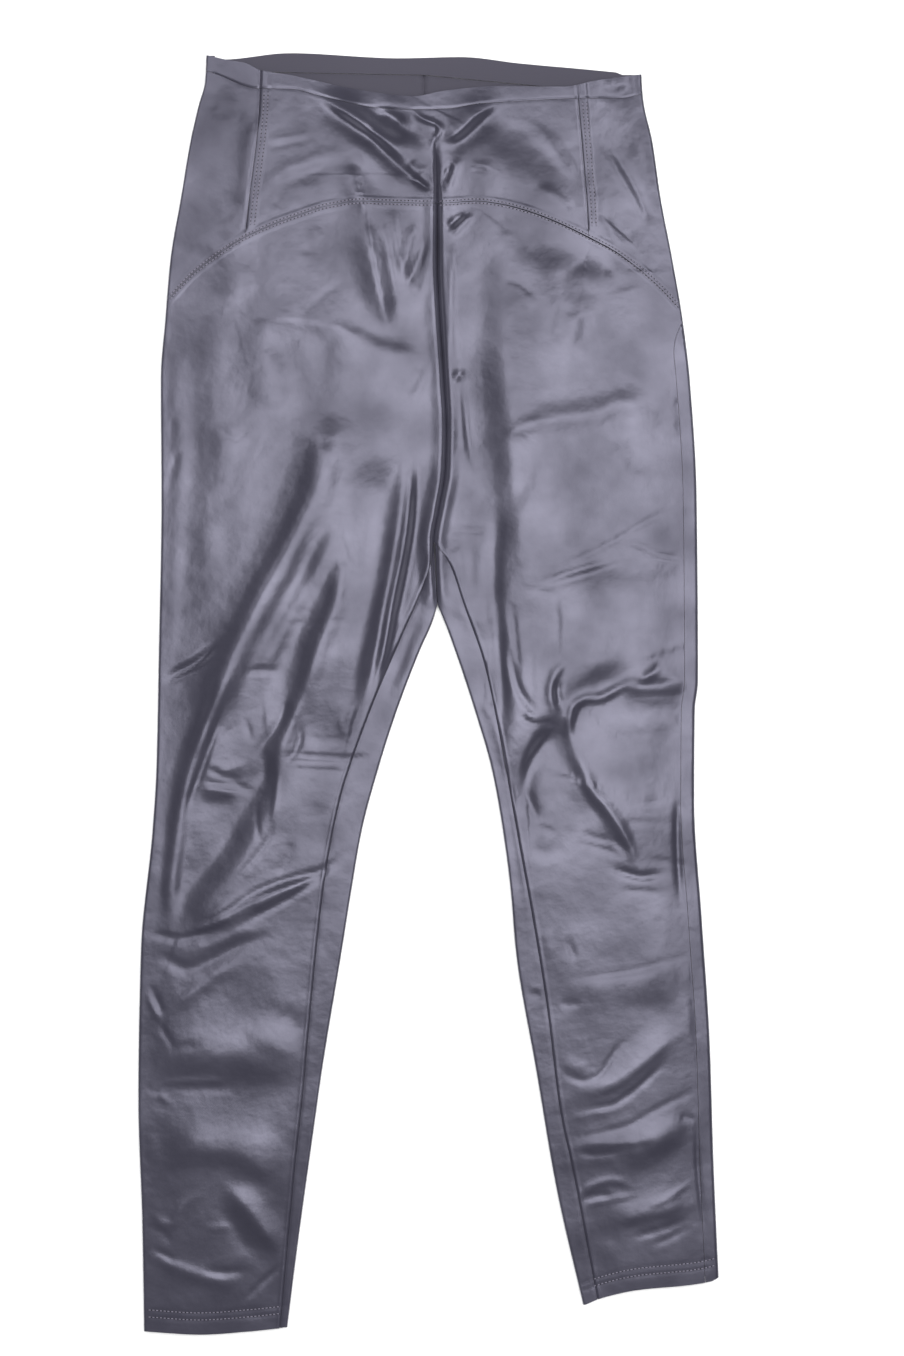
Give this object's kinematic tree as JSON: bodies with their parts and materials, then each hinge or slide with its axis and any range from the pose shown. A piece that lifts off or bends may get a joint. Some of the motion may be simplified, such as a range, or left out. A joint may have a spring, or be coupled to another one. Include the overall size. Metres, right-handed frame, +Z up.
{
  "type": "high-waisted pull-on leggings in coated cloth",
  "caption": "Full-length pull-on trousers in satin coated stretch cloth, laid flat front up, with a curved front yoke, princess seams and a narrow elastic waistband.",
  "frame": {"origin": "centre of the bounding box, on the surface that the trousers lie on", "axes": "+Y towards the waist, +X to the right as seen from above, +Z up, away from the surface; the front of the trousers faces +Z"},
  "size_m": [0.4517, 0.9979, 0.0123],
  "materials": {
    "coated_cloth": "smooth satin coating with a leather look over a stretch knit, dark grey with a cast of purple",
    "waistband": "the same coated cloth turned over a narrow elastic, a little duller"
  },
  "bodies": {
    "root": {"front_leg_left": "coated_cloth", "front_leg_right": "coated_cloth", "back_leg_left": "coated_cloth", "back_leg_right": "coated_cloth", "front_yoke_centre": "coated_cloth", "front_yoke_side_left": "coated_cloth", "front_yoke_side_right": "coated_cloth", "waistband_front": "waistband", "waistband_back": "waistband"}
  },
  "joints": []
}
